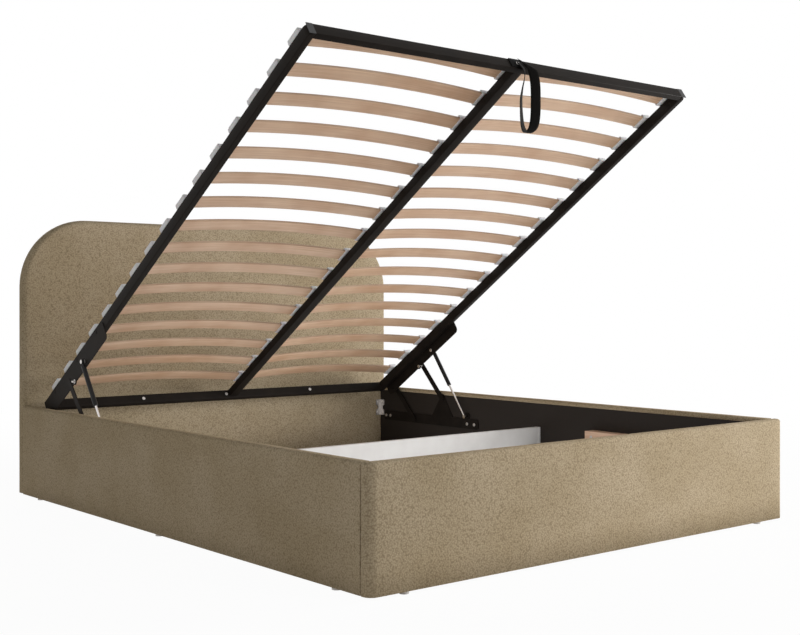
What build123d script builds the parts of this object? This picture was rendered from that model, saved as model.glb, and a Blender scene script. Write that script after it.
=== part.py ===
from build123d import *
import math
import os

# Upholstered storage bed for a 1600 x 2000 mattress, shown with its slatted lid raised.
# The origin is on the floor at the middle of the bed. The head is at +Y, the foot at -Y, up is +Z.
# Every left piece is the mirror of the right piece in the plane x = 0.

# Overall sizes
bed_width = 1700.0
bed_length = 2094.0
rail_top = 326.0
floor_gap = 8.0

# Headboard
headboard_height = 1011.0
headboard_inset = 5.0
headboard_thickness = 60.0
headboard_corner_radius = 250.0
headboard_edge_radius = 24.0
headboard_foam = 12.0

# Side rails and footboard
rail_thickness = 35.0
rail_padding = 6.0
rail_lining = 2.0
rail_lip = 15.0
rail_edge_radius = 5.0
foot_corner_radius = 24.0

# Glides under the boards
glide_diameter = 24.0
glide_inset = 120.0

# Storage floor, divider and lid supports
bearer_width = 25.0
bearer_height = 15.0
centre_bearer_width = 30.0
floor_panel_thickness = 5.0
panel_clearance = 1.0
divider_thickness = 18.0
divider_top = 220.0
divider_centre = 9.0
channel_depth = 8.0
channel_wall = 1.5
support_width = 45.0
support_height = 40.0
support_length = 712.0
support_foot_gap = 30.0
closed_clearance = 0.5

# Small screws
screw_head_diameter = 11.0
screw_head_height = 2.5
screw_shank_diameter = 5.0
screw_shank_length = 22.0
screw_inset = 30.0
hole_clearance = 0.1

# Corner brackets
corner_flange = 28.0
corner_height = 68.0
corner_thickness = 3.0
corner_bottom = 199.0
corner_notch_radius = 11.0
corner_screw_drop = 12.0
corner_screw_reach = 17.0
corner_screw_length = 14.0

# Lift mechanism: sheet thicknesses and running gaps, counted inwards from the rail
base_plate_thickness = 3.0
bolt_head_height = 2.0
bolt_head_diameter = 13.0
bolt_shank_diameter = 8.0
bolt_shank_length = 24.0
lever_thickness = 3.5
strut_diameter = 16.0
lid_plate_thickness = 3.0
running_gap = 1.0
strut_gap = 1.6
lever_width = 22.0
pin_diameter = 8.0
pin_clearance = 0.05
pin_head_diameter = 14.0
pin_head_height = 1.2
pin_end_play = 0.15
head_rounding_share = 0.6

# Base plate on the rail: its gap to the headboard's face, its reach past the strut's foot, and heights
base_plate_head_gap = 31.0
base_plate_foot_reach = 67.0
base_plate_bottom = 181.0
base_plate_top = 222.0
base_plate_corner = 10.0
base_bolt_height = 200.0
foot_bolt_insets = (25.0, 68.0)
head_bolt_insets = (42.0, 13.0)
ear_radius = 15.0
ear_foot_width = 130.0

# Pivots on the base plate, as distances from the headboard's face and heights
rear_pivot_distance = 242.8
rear_pivot_z = 195.3
front_pivot_distance = 420.9
front_pivot_z = 299.2
strut_foot_distance = 575.0
strut_foot_z = 232.0

# Lid position: the rear lever carries the lid, which is open at rest
rear_lever_length = 172.4
rear_lever_angle = 46.2
rear_lever_closed_angle = 2.6
lid_angle = 33.6

# Lid frame of square-cut steel tube
lid_end_clearance = 13.0
lid_tube_width = 21.0
lid_tube_height = 36.0
centre_tube_width = 36.0
centre_tube_height = 28.0
lid_tube_wall = 1.5
end_cap_thickness = 2.0

# Lid plates, as distances from the lid's rear end and below its underside
lid_plate_rear = 30.0
lid_plate_front = 560.0
lid_plate_drop = 40.0
lid_plate_rise = 30.0
lid_plate_corner = 16.0
rear_pin_along = 60.0
rear_pin_drop = 27.0
front_pin_along = 267.0
front_pin_drop = 34.0
strut_pin_along = 372.0
strut_pin_drop = 18.0
lug_radius = 12.0
lid_bolt_places = (105.0, 320.0, 500.0)
lid_bolt_rise = 20.0

# Gas struts, as distances from the upper eye
strut_eye_radius = 8.0
strut_eye_thickness = 7.0
strut_neck_diameter = 6.0
strut_body_start = 16.0
strut_body_end = 178.0
strut_wall = 1.5
strut_end_thickness = 8.0
strut_bore_clearance = 0.05
rod_diameter = 8.0
piston_length = 6.0
rod_eye_radius = 7.5

# Slats and their holders
slats_per_side = 16
first_slat = 114.0
last_slat = 65.0
slat_width = 50.0
slat_thickness = 8.0
slat_crown = 22.0
holder_length = 58.0
holder_height = 18.0
holder_floor = 3.0
holder_overhang = 15.0
centre_holder_overhang = 7.5
holder_wall = 6.0
holder_radius = 3.0
slat_clearance = 0.25
centre_holder_gap = 0.5

# Plugs on the rear bar and the pull strap at the front
plug_diameter = 12.0
plug_height = 2.0
plug_places = (-399.0, -32.0, 378.0)
strap_width = 30.0
strap_thickness = 2.0
strap_drop = 196.0
strap_spacing = 60.0
strap_centre = 8.0
strap_bolt_x = -18.0
strap_bolt_diameter = 14.0
strap_bolt_height = 3.0
strap_fold = 30.0

# Worked out from the sizes above
half_width = bed_width / 2
half_length = bed_length / 2
inner_x = half_width - rail_thickness
board_x = inner_x + rail_lining
head_face = half_length - headboard_thickness
foot_face = rail_thickness - half_length
headboard_width = bed_width - 2 * headboard_inset
rear_pivot_y = head_face - rear_pivot_distance
front_pivot_y = head_face - front_pivot_distance
strut_foot_y = head_face - strut_foot_distance
base_plate_head_end = head_face - base_plate_head_gap
base_plate_foot_end = strut_foot_y - base_plate_foot_reach
base_bolt_places = [base_plate_foot_end + inset for inset in foot_bolt_insets]
base_bolt_places += [base_plate_head_end - inset for inset in head_bolt_insets]
lid_length = head_face - foot_face - 2 * lid_end_clearance
slat_pitch = (lid_length - first_slat - last_slat) / (slats_per_side - 1)
plate_x = inner_x - base_plate_thickness
lever_out_x = plate_x - bolt_head_height - running_gap
lever_in_x = lever_out_x - lever_thickness
strut_x = lever_in_x - strut_gap - strut_diameter / 2
lid_plate_x = strut_x - strut_diameter / 2 - running_gap
lid_half_width = lid_plate_x - lid_plate_thickness
tube_inner_x = lid_half_width - lid_tube_width


def block(x0, x1, y0, y1, z0, z1):
    """A box given by its two opposite corners."""
    return Pos(x0, y0, z0) * Box(x1 - x0, y1 - y0, z1 - z0, align=(Align.MIN,) * 3)


def mirrored(part):
    """The left copy of a right piece."""
    return mirror(part, about=Plane.YZ)


def rod_x(x0, x1, y, z, diameter):
    """A cylinder along x from x0 to x1."""
    low = min(x0, x1)
    return Pos(low, y, z) * Rot(0, 90, 0) * Cylinder(
        diameter / 2, abs(x1 - x0), align=(Align.CENTER, Align.CENTER, Align.MIN))


def rod_y(x, y0, y1, z, diameter):
    """A cylinder along y from y0 to y1."""
    low = min(y0, y1)
    return Pos(x, low, z) * Rot(-90, 0, 0) * Cylinder(
        diameter / 2, abs(y1 - y0), align=(Align.CENTER, Align.CENTER, Align.MIN))


def plate_yz(sketch, x0, thickness):
    """A flat plate whose outline is drawn as (y, z), standing at x0 and growing in +x."""
    return Pos(x0, 0, 0) * extrude(Plane.YZ * sketch, amount=thickness)


def write(name, *solids):
    """Write one node; several solids stay apart inside it."""
    shape = solids[0] if len(solids) == 1 else Compound(children=list(solids))
    export_step(shape, f"parts/{name}.step")


os.makedirs("parts", exist_ok=True)


# Headboard: a timber panel in padded upholstery

def headboard_shape(inset, y0, y1):
    width = headboard_width - 2 * inset
    height = headboard_height - floor_gap - inset
    outline = Rectangle(width, height, align=(Align.CENTER, Align.MIN))
    outline = fillet(outline.vertices().group_by(Axis.Y)[-1], headboard_corner_radius - inset)
    return Pos(0, y1, floor_gap) * Rot(90, 0, 0) * extrude(outline, amount=y1 - y0)


headboard_core = headboard_shape(headboard_foam, head_face + headboard_foam, half_length - headboard_foam)
headboard_envelope = headboard_shape(0, head_face, half_length)
rim_edges = [e for e in headboard_envelope.edges() if e.bounding_box().size.Y < floor_gap
             and e.bounding_box().max.Z > floor_gap + headboard_edge_radius]
headboard_envelope = fillet(rim_edges, headboard_edge_radius)
headboard_cover = headboard_envelope - headboard_core


# Side rails: board, wrapped cover and black inner lining

def rail_pieces():
    board = block(board_x, half_width - rail_padding, foot_face, head_face,
                  floor_gap, rail_top - rail_padding)
    lining = block(inner_x, board_x, foot_face, head_face, floor_gap, rail_top - rail_lip)
    cover = block(inner_x, half_width, foot_face, head_face, floor_gap, rail_top)
    top_edges = cover.edges().filter_by(Axis.Y).group_by(Axis.Z)[-1]
    cover = fillet(top_edges, rail_edge_radius) - board - lining
    return board, lining, cover


rail_board, rail_lining_sheet, rail_cover = rail_pieces()


# Footboard: the same build, with rounded outer corners

def footboard_pieces():
    outer = -half_length
    board = block(rail_padding - half_width, half_width - rail_padding, outer + rail_padding,
                  foot_face - rail_lining, floor_gap, rail_top - rail_padding)
    board = fillet(board.edges().filter_by(Axis.Z).group_by(Axis.Y)[0], foot_corner_radius - rail_padding)
    lining = block(-inner_x, inner_x, foot_face - rail_lining, foot_face, floor_gap, rail_top - rail_lip)
    cover = block(-half_width, half_width, outer, foot_face, floor_gap, rail_top)
    cover = fillet(cover.edges().filter_by(Axis.Z).group_by(Axis.Y)[0], foot_corner_radius)
    cover = fillet(cover.faces().sort_by(Axis.Z)[-1].edges(), rail_edge_radius)
    return board, lining, cover - board - lining


footboard_board, footboard_lining, footboard_cover = footboard_pieces()


# Storage floor: bearers along the rails and down the middle, and four loose panels

divider_foot_face = divider_centre - divider_thickness / 2
divider_head_face = divider_centre + divider_thickness / 2
panel_bottom = floor_gap + bearer_height
panel_top = panel_bottom + floor_panel_thickness


def bearers():
    runs = []
    for y0, y1 in ((foot_face, divider_foot_face), (divider_head_face, head_face)):
        side = block(inner_x - bearer_width, inner_x, y0, y1, floor_gap, panel_bottom)
        middle = block(-centre_bearer_width / 2, centre_bearer_width / 2, y0, y1, floor_gap, panel_bottom)
        runs += [side, mirrored(side), middle]
    return runs


def floor_panels():
    panels = []
    for y0, y1 in ((foot_face, divider_foot_face), (divider_head_face, head_face)):
        panel = block(panel_clearance, inner_x - panel_clearance, y0 + panel_clearance,
                      y1 - panel_clearance, panel_bottom, panel_top)
        panels += [panel, mirrored(panel)]
    return panels


# Divider: a white board across the middle, whose ends stand in a white channel at each rail

divider_end = inner_x - channel_wall
divider_board = block(-divider_end, divider_end, divider_foot_face, divider_head_face,
                      floor_gap, divider_top)
divider_channel = block(inner_x - channel_depth, inner_x, divider_foot_face - channel_wall,
                        divider_head_face + channel_wall, panel_top, divider_top) - divider_board


# Lid supports: timber battens on the foot half of the rails, which the closed lid lies on

rear_pin_closed_z = rear_pivot_z + rear_lever_length * math.sin(math.radians(rear_lever_closed_angle))
closed_lid_z = rear_pin_closed_z + rear_pin_drop
support_top = closed_lid_z - closed_clearance
support_foot_end = foot_face + support_foot_gap
support_head_end = support_foot_end + support_length
support_face = inner_x - support_width
support_screw_z = support_top - support_height / 2
support_screw_places = (support_head_end - screw_inset,
                        (support_head_end + support_foot_end) / 2,
                        support_foot_end + screw_inset)


def screw_x(x, y, z, length):
    """A pan-head screw driven in +x, with its head standing on the face at x."""
    head = rod_x(x - screw_head_height, x, y, z, screw_head_diameter)
    head = fillet(head.edges().group_by(Axis.X)[0], screw_head_height * head_rounding_share)
    return head + rod_x(x, x + length, y, z, screw_shank_diameter)


def support_batten():
    batten = block(support_face, inner_x, support_foot_end, support_head_end,
                   support_top - support_height, support_top)
    for y in support_screw_places:
        batten -= rod_x(support_face, inner_x, y, support_screw_z, screw_shank_diameter + hole_clearance)
    return batten


lid_support = support_batten()
support_screws = [screw_x(support_face, y, support_screw_z, screw_shank_length)
                  for y in support_screw_places]


# Corner brackets: waisted steel angles that tie the rails to the head and foot

def corner_bracket():
    """The bracket of the right head corner."""
    x0 = inner_x - corner_flange
    y0 = head_face - corner_flange
    top = corner_bottom + corner_height
    middle = (corner_bottom + top) / 2
    flange_x = block(x0, inner_x, head_face - corner_thickness, head_face, corner_bottom, top)
    flange_y = block(inner_x - corner_thickness, inner_x, y0, head_face, corner_bottom, top)
    flange_x -= rod_y(x0, y0, head_face, middle, 2 * corner_notch_radius)
    flange_y -= rod_x(x0, inner_x, y0, middle, 2 * corner_notch_radius)
    angle = flange_x + flange_y
    hole = screw_shank_diameter + hole_clearance
    for z in (corner_bottom + corner_screw_drop, top - corner_screw_drop):
        angle -= rod_y(inner_x - corner_screw_reach, y0, head_face, z, hole)
        angle -= rod_x(x0, inner_x, head_face - corner_screw_reach, z, hole)
    return angle


def corner_screws():
    """The four screws of that bracket: two into the rail, two into the headboard."""
    screws = []
    for z in (corner_bottom + corner_screw_drop, corner_bottom + corner_height - corner_screw_drop):
        screws.append(screw_x(inner_x - corner_thickness, head_face - corner_screw_reach, z,
                              corner_screw_length))
        turned = Pos(inner_x - corner_screw_reach, head_face - corner_thickness, z) * Rot(0, 0, 90)
        screws.append(turned * screw_x(0, 0, 0, corner_screw_length))
    return screws


def at_all_corners(part):
    """The piece at the four corners: mirrored left, and mirrored over to the foot."""
    middle_of_rails = Plane.XZ.offset(-(head_face + foot_face) / 2)
    foot = mirror(part, about=middle_of_rails)
    return [part, mirrored(part), foot, mirrored(foot)]


# Lid placement: the lid's own frame has its origin under the rear edge, with -y running to its
# front and z square to its face

lever_rise = math.radians(rear_lever_angle)
rear_pin_y = rear_pivot_y + rear_lever_length * math.cos(lever_rise)
rear_pin_z = rear_pivot_z + rear_lever_length * math.sin(lever_rise)
tilt = math.radians(lid_angle)
lid_rear_y = rear_pin_y + rear_pin_along * math.cos(tilt) + rear_pin_drop * math.sin(tilt)
lid_rear_z = rear_pin_z - rear_pin_along * math.sin(tilt) + rear_pin_drop * math.cos(tilt)
on_lid = Pos(0, lid_rear_y, lid_rear_z) * Rot(-lid_angle, 0, 0)


def lid_point(along, drop):
    """Where a point of the lid's side lies in the bed's frame, as (y, z)."""
    y = lid_rear_y - along * math.cos(tilt) - drop * math.sin(tilt)
    z = lid_rear_z + along * math.sin(tilt) - drop * math.cos(tilt)
    return y, z


front_pin_y, front_pin_z = lid_point(front_pin_along, front_pin_drop)
strut_pin_y, strut_pin_z = lid_point(strut_pin_along, strut_pin_drop)


# Base plates: long steel plates bolted to the rails, with ears for the pivots

def ear(y, z):
    """An ear that rises from the plate to the pivot at (y, z)."""
    foot = ear_foot_width / 2
    web = Polygon((y - foot, base_plate_top), (y + foot, base_plate_top),
                  (y + ear_radius, z), (y - ear_radius, z), align=None)
    return web + Pos(y, z) * Circle(ear_radius)


def base_plate():
    length = base_plate_head_end - base_plate_foot_end
    height = base_plate_top - base_plate_bottom
    bar = RectangleRounded(length, height, base_plate_corner)
    bar = Pos(base_plate_foot_end + length / 2, base_plate_bottom + height / 2) * bar
    foot_ear = Pos(strut_foot_y, strut_foot_z) * Circle(ear_radius)
    outline = bar + ear(front_pivot_y, front_pivot_z) + foot_ear
    plate = plate_yz(outline, plate_x, base_plate_thickness)
    for y in base_bolt_places:
        plate -= rod_x(plate_x, inner_x, y, base_bolt_height, bolt_shank_diameter + hole_clearance)
    return plate


def base_bolt(y):
    head = rod_x(plate_x - bolt_head_height, plate_x, y, base_bolt_height, bolt_head_diameter)
    head = fillet(head.edges().group_by(Axis.X)[0], bolt_head_height * head_rounding_share)
    return head + rod_x(plate_x, plate_x + bolt_shank_length, y, base_bolt_height, bolt_shank_diameter)


def base_pin(y, z):
    """A fixed pin on the base plate: a spacer, the bearing for the lever and a thin head."""
    spacer = rod_x(lever_out_x + pin_end_play, plate_x, y, z, pin_head_diameter)
    bearing = rod_x(lever_in_x - pin_end_play, plate_x, y, z, pin_diameter)
    head_x = lever_in_x - pin_end_play
    head = rod_x(head_x - pin_head_height, head_x, y, z, pin_head_diameter)
    return spacer + bearing + head


def strut_foot_stud():
    """The stud that carries the strut's lower eye; it ends just short of the eye."""
    end = strut_x + strut_eye_thickness / 2 + running_gap
    return rod_x(end, plate_x, strut_foot_y, strut_foot_z, pin_diameter)


# Levers: flat steel links with round ends

def link(y0, z0, y1, z1, holes):
    length = math.hypot(y1 - y0, z1 - z0)
    angle = math.degrees(math.atan2(z1 - z0, y1 - y0))
    bar = SlotCenterToCenter(length, lever_width)
    bar = Pos((y0 + y1) / 2, (z0 + z1) / 2) * Rot(0, 0, angle) * bar
    plate = plate_yz(bar, lever_in_x, lever_thickness)
    for y, z in holes:
        plate -= rod_x(lever_in_x, lever_out_x, y, z, pin_diameter + 2 * pin_clearance)
    return plate


rear_lever = link(rear_pivot_y, rear_pivot_z, rear_pin_y, rear_pin_z,
                  [(rear_pivot_y, rear_pivot_z), (rear_pin_y, rear_pin_z)])
front_lever = link(front_pivot_y, front_pivot_z, front_pin_y, front_pin_z,
                   [(front_pivot_y, front_pivot_z)])


# Lid plates: steel plates on the outer faces of the side tubes

def lid_plate():
    length = lid_plate_front - lid_plate_rear
    height = lid_plate_drop + lid_plate_rise
    outline = RectangleRounded(length, height, lid_plate_corner)
    outline = Pos(-lid_plate_rear - length / 2, lid_plate_rise - height / 2) * outline
    outline += Pos(-front_pin_along, -front_pin_drop) * Circle(lug_radius)
    plate = plate_yz(outline, lid_half_width, lid_plate_thickness)
    for along, drop in ((rear_pin_along, rear_pin_drop), (front_pin_along, front_pin_drop),
                        (strut_pin_along, strut_pin_drop)):
        plate -= rod_x(lid_half_width, lid_plate_x, -along, -drop, pin_diameter)
    for along in lid_bolt_places:
        plate -= rod_x(lid_half_width, lid_plate_x, -along, lid_bolt_rise, bolt_shank_diameter)
    return on_lid * plate


def lid_bolt(along):
    head = rod_x(lid_plate_x, lid_plate_x + pin_head_height, -along, lid_bolt_rise, bolt_head_diameter)
    shank = rod_x(lid_half_width - lid_tube_wall, lid_plate_x, -along, lid_bolt_rise, bolt_shank_diameter)
    return on_lid * (head + shank)


def lid_pin(along, drop, spacer_end, end, end_head):
    """A pin riveted through the lid plate: inner head, spacer and bearing."""
    head = rod_x(lid_half_width - bolt_head_height, lid_half_width, -along, -drop, pin_head_diameter)
    head = fillet(head.edges().group_by(Axis.X)[0], bolt_head_height * head_rounding_share)
    pin = head + rod_x(lid_half_width, end, -along, -drop, pin_diameter)
    pin += rod_x(lid_plate_x, spacer_end, -along, -drop, pin_head_diameter)
    if end_head:
        pin += rod_x(end, end + pin_head_height, -along, -drop, pin_head_diameter)
    return on_lid * pin


eye_in_x = strut_x - strut_eye_thickness / 2
eye_out_x = strut_x + strut_eye_thickness / 2
rear_lid_pin = lid_pin(rear_pin_along, rear_pin_drop, lever_in_x - pin_end_play, lever_out_x, False)
front_lid_pin = lid_pin(front_pin_along, front_pin_drop, lid_plate_x + running_gap,
                        lever_in_x - running_gap, False)
strut_lid_pin = lid_pin(strut_pin_along, strut_pin_drop, eye_in_x - pin_end_play,
                        eye_out_x + pin_end_play, True)


# Gas struts: the cylinder hangs from the lid plate, and its rod reaches down to the base plate

strut_length = math.hypot(strut_pin_y - strut_foot_y, strut_pin_z - strut_foot_z)
strut_pitch = math.degrees(math.atan2(strut_foot_z - strut_pin_z, strut_foot_y - strut_pin_y))
on_strut = Pos(strut_x, strut_pin_y, strut_pin_z) * Rot(strut_pitch, 0, 0)
bore_start = strut_body_start + strut_end_thickness
bore_end = strut_body_end - strut_end_thickness
bore_diameter = strut_diameter - 2 * strut_wall


def strut_cylinder():
    """Drawn along +y from the upper eye at the origin."""
    eye = rod_x(-strut_eye_thickness / 2, strut_eye_thickness / 2, 0, 0, 2 * strut_eye_radius)
    neck = rod_y(0, strut_eye_radius / 2, strut_body_start, 0, strut_neck_diameter)
    body = rod_y(0, strut_body_start, strut_body_end, 0, strut_diameter)
    body = fillet(body.edges().filter_by(GeomType.CIRCLE), strut_wall)
    shape = eye + neck + body
    shape -= rod_y(0, bore_start, bore_end, 0, bore_diameter)
    shape -= rod_y(0, bore_end, strut_body_end, 0, rod_diameter + 2 * pin_clearance)
    shape -= rod_x(-strut_eye_thickness, strut_eye_thickness, 0, 0, pin_diameter + 2 * pin_clearance)
    return on_strut * shape


def strut_rod():
    piston = rod_y(0, bore_end - piston_length, bore_end - pin_end_play, 0,
                   bore_diameter - 2 * strut_bore_clearance)
    rod = rod_y(0, bore_end - piston_length, strut_length, 0, rod_diameter)
    eye = rod_x(-strut_eye_thickness / 2, strut_eye_thickness / 2, strut_length, 0, 2 * rod_eye_radius)
    return on_strut * (piston + rod + eye)


# Lid frame: rectangular steel tubes, welded at the corners

def tube(x0, x1, along0, along1, runs_x, underside=0.0):
    solid = block(x0, x1, -along1, -along0, underside, lid_tube_height)
    wall = lid_tube_wall
    low = underside + wall
    high = lid_tube_height - wall
    if runs_x:
        hollow = block(x0, x1, wall - along1, -along0 - wall, low, high)
    else:
        hollow = block(x0 + wall, x1 - wall, -along1, -along0, low, high)
    return solid - hollow


inner_front = lid_length - lid_tube_width
side_tube = on_lid * tube(tube_inner_x, lid_half_width, end_cap_thickness,
                          lid_length - end_cap_thickness, False)
rear_bar = on_lid * tube(-tube_inner_x, tube_inner_x, 0, lid_tube_width, True)
front_bar = on_lid * tube(-tube_inner_x, tube_inner_x, inner_front, lid_length, True)
centre_tube = on_lid * tube(-centre_tube_width / 2, centre_tube_width / 2, lid_tube_width, inner_front,
                            False, lid_tube_height - centre_tube_height)


def drilled_side_tube():
    holes = [on_lid * rod_x(lid_half_width - lid_tube_wall, lid_half_width, -along, lid_bolt_rise,
                            bolt_shank_diameter) for along in lid_bolt_places]
    drilled = side_tube
    for hole in holes:
        drilled -= hole
    return drilled


def end_caps():
    caps = []
    for along0, along1 in ((0, end_cap_thickness), (lid_length - end_cap_thickness, lid_length)):
        cap = on_lid * block(tube_inner_x, lid_half_width, -along1, -along0, 0, lid_tube_height)
        caps += [cap, mirrored(cap)]
    return caps


# Slats: bent birch strips in pale plastic holders on top of the tubes

slat_outer_x = lid_half_width - holder_wall
slat_inner_x = holder_wall
slat_middle_x = (slat_outer_x + slat_inner_x) / 2
slat_half_length = (slat_outer_x - slat_inner_x) / 2
slat_seat = lid_tube_height + holder_floor


def slat_shape(grow):
    """One slat about its own place along the lid, or that slat grown for its pocket."""
    reach = slat_half_length + grow
    low = slat_seat - grow
    high = slat_seat + slat_thickness + grow
    left = slat_middle_x - reach
    right = slat_middle_x + reach
    under = ThreePointArc((left, low), (slat_middle_x, low + slat_crown), (right, low))
    over = ThreePointArc((right, high), (slat_middle_x, high + slat_crown), (left, high))
    ends = [Line((right, low), (right, high)), Line((left, high), (left, low))]
    outline = make_face(Curve() + [under, ends[0], over, ends[1]])
    width = slat_width + 2 * grow
    return Pos(0, width / 2, 0) * extrude(Plane.XZ * outline, amount=width)


def holder(x0, x1):
    """A moulded cap round the slat's end, standing on the tube."""
    half = holder_length / 2
    body = block(x0, x1, -half, half, lid_tube_height, lid_tube_height + holder_height)
    body = fillet(body.edges().filter_by(Axis.Z), holder_radius)
    body = fillet(body.faces().sort_by(Axis.Z)[-1].edges(), holder_radius / 2)
    return body - slat_shape(slat_clearance)


outer_holder_x = tube_inner_x - holder_overhang
inner_holder_x = centre_tube_width / 2 + centre_holder_overhang
slat = slat_shape(0)
outer_holder = holder(outer_holder_x, lid_half_width)
inner_holder = holder(centre_holder_gap, inner_holder_x)


def along_lid(part):
    """The piece repeated at every slat of the right half."""
    return [on_lid * Pos(0, -first_slat - row * slat_pitch, 0) * part for row in range(slats_per_side)]


# Plugs in the rear bar, on the face that looks to the foot

def rear_plug(x):
    return on_lid * rod_y(x, -lid_tube_width - plug_height, -lid_tube_width,
                          lid_tube_height / 2, plug_diameter)


# Pull strap: a loop of webbing bolted to the front bar, hanging straight down from the open lid

def pull_strap():
    """A flat loop below the front bar, and the folded tab on the bar's face, which the bolt holds."""
    face_y = lid_rear_y - lid_length * math.cos(tilt)
    face_z = lid_rear_z + lid_length * math.sin(tilt)
    top = face_z + 2 * strap_thickness
    outer = (strap_spacing + strap_width) / 2
    inner = (strap_spacing - strap_width) / 2
    leg_top = strap_drop - outer
    bend = (Circle(outer) - Circle(inner)) & Pos(0, -outer / 2) * Rectangle(2 * outer, outer)
    legs = [Pos(side * strap_spacing / 2, leg_top / 2) * Rectangle(strap_width, leg_top)
            for side in (-1, 1)]
    loop = extrude(Plane.XZ * (bend + legs[0] + legs[1]), amount=strap_thickness)
    hanging = Pos(strap_centre, face_y, top - leg_top) * loop
    tab = block(strap_bolt_x - strap_width, strap_centre + outer, -lid_length - strap_thickness,
                -lid_length, 0, strap_fold)
    tab -= rod_y(strap_bolt_x, -lid_length - strap_thickness, -lid_length, lid_tube_height / 2,
                 bolt_shank_diameter)
    return hanging + on_lid * tab


def strap_bolt():
    seat = -lid_length - strap_thickness
    head = rod_y(strap_bolt_x, seat - strap_bolt_height, seat, lid_tube_height / 2, strap_bolt_diameter)
    head = fillet(head.edges().group_by(Axis.Y)[0], strap_bolt_height * head_rounding_share)
    shank = rod_y(strap_bolt_x, seat, -lid_length, lid_tube_height / 2, bolt_shank_diameter)
    return on_lid * (head + shank)


# Glides: plastic discs nailed under the boards

def glides():
    feet = []
    rail_middle = (board_x + half_width - rail_padding) / 2
    head_middle = half_length - headboard_thickness / 2
    foot_middle = -half_length + rail_thickness / 2
    upright = (Align.CENTER, Align.CENTER, Align.MIN)
    for x, y in ((rail_middle, head_face - glide_inset), (rail_middle, 0),
                 (rail_middle, foot_face + glide_inset),
                 (half_width - glide_inset, head_middle), (half_width - glide_inset, foot_middle)):
        foot = Pos(x, y, 0) * Cylinder(glide_diameter / 2, floor_gap, align=upright)
        feet += [foot, mirrored(foot)]
    return feet


# Drilling: the boards that take a fastener get its hole

def drilled(part, fasteners):
    for fastener in fasteners:
        part -= fastener
    return part


base_bolts = [base_bolt(y) for y in base_bolt_places]
all_corner_screws = [copy for screw in corner_screws() for copy in at_all_corners(screw)]
left_base_bolts = [mirrored(bolt) for bolt in base_bolts]
right_screws = [screw for screw in all_corner_screws if screw.center().X > 0]
left_screws = [screw for screw in all_corner_screws if screw.center().X < 0]

write("headboard_core", drilled(headboard_core, all_corner_screws))
write("headboard_cover", drilled(headboard_cover, all_corner_screws))
write("rail_board_right", drilled(rail_board, base_bolts + right_screws))
write("rail_board_left", drilled(mirrored(rail_board), left_base_bolts + left_screws))
write("rail_lining_right", drilled(rail_lining_sheet, base_bolts + right_screws))
write("rail_lining_left", drilled(mirrored(rail_lining_sheet), left_base_bolts + left_screws))
write("rail_cover_right", rail_cover)
write("rail_cover_left", mirrored(rail_cover))
write("footboard_board", drilled(footboard_board, all_corner_screws))
write("footboard_lining", drilled(footboard_lining, all_corner_screws))
write("footboard_cover", footboard_cover)
write("floor_bearers", *bearers())
write("floor_panels", *floor_panels())
write("divider_board", divider_board)
write("divider_channels", divider_channel, mirrored(divider_channel))
write("lid_support_right", lid_support)
write("lid_support_left", mirrored(lid_support))
write("lid_support_screws", *support_screws, *[mirrored(screw) for screw in support_screws])
write("corner_brackets", *at_all_corners(corner_bracket()))
write("corner_screws", *all_corner_screws)
write("floor_glides", *glides())

write("base_plate_right", base_plate())
write("base_plate_left", mirrored(base_plate()))
write("base_bolts", *base_bolts, *left_base_bolts)
rear_base_pin = base_pin(rear_pivot_y, rear_pivot_z)
front_base_pin = base_pin(front_pivot_y, front_pivot_z)
write("rear_lever_base_pins", rear_base_pin, mirrored(rear_base_pin))
write("front_lever_base_pins", front_base_pin, mirrored(front_base_pin))
write("strut_foot_studs", strut_foot_stud(), mirrored(strut_foot_stud()))
write("rear_lever_right", rear_lever)
write("rear_lever_left", mirrored(rear_lever))
write("front_lever_right", front_lever)
write("front_lever_left", mirrored(front_lever))
write("strut_cylinder_right", strut_cylinder())
write("strut_cylinder_left", mirrored(strut_cylinder()))
write("strut_rod_right", strut_rod())
write("strut_rod_left", mirrored(strut_rod()))

write("lid_plate_right", lid_plate())
write("lid_plate_left", mirrored(lid_plate()))
lid_bolts = [lid_bolt(along) for along in lid_bolt_places]
write("lid_plate_bolts", *lid_bolts, *[mirrored(bolt) for bolt in lid_bolts])
write("rear_lever_lid_pins", rear_lid_pin, mirrored(rear_lid_pin))
write("front_lever_lid_pins", front_lid_pin, mirrored(front_lid_pin))
write("strut_lid_pins", strut_lid_pin, mirrored(strut_lid_pin))
write("lid_side_tube_right", drilled_side_tube())
write("lid_side_tube_left", mirrored(drilled_side_tube()))
write("lid_rear_bar", rear_bar)
write("lid_front_bar", front_bar)
write("lid_centre_tube", centre_tube)
write("lid_end_caps", *end_caps())
write("lid_bar_plugs", *[rear_plug(x) for x in plug_places])
right_slats = along_lid(slat)
right_outer = along_lid(outer_holder)
right_inner = along_lid(inner_holder)
write("slats_right", *right_slats)
write("slats_left", *[mirrored(piece) for piece in right_slats])
write("slat_holders_right", *right_outer)
write("slat_holders_left", *[mirrored(piece) for piece in right_outer])
write("slat_holders_centre_right", *right_inner)
write("slat_holders_centre_left", *[mirrored(piece) for piece in right_inner])
write("pull_strap", pull_strap())
write("strap_bolt", strap_bolt())

print("lid rear edge", round(lid_rear_y, 2), round(lid_rear_z, 2))
front_lever_length = math.hypot(front_pin_y - front_pivot_y, front_pin_z - front_pivot_z)
print("front lever length", round(front_lever_length, 2))
print("strut length", round(strut_length, 2), "pitch", round(strut_pitch, 2))
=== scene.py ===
import bmesh
import bpy
import math
import random
from mathutils import Matrix, Vector, noise


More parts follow.
